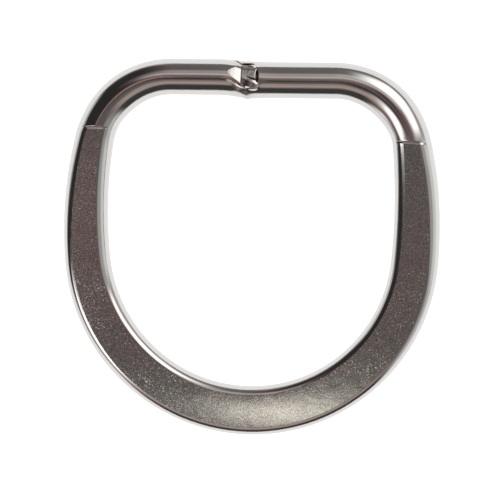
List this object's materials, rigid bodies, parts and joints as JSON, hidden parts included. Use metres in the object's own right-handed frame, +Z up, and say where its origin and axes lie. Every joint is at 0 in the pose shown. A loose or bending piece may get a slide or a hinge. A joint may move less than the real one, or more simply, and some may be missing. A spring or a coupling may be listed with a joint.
{
  "type": "d ring",
  "caption": "Steel D ring: a straight round-wire bar with a butt weld in its middle, and a half-round bow pressed flat above and below.",
  "frame": {"origin": "centre of the ring's foot print, on the surface that it lies on", "axes": "+Y from the foot of the bow towards the straight bar, +X along the bar, +Z up from the surface, nearly square to the ring"},
  "size_m": [0.0522, 0.0518, 0.0054],
  "materials": {
    "steel": "polished"
  },
  "bodies": {
    "root": {"d_ring": "steel"}
  },
  "joints": []
}
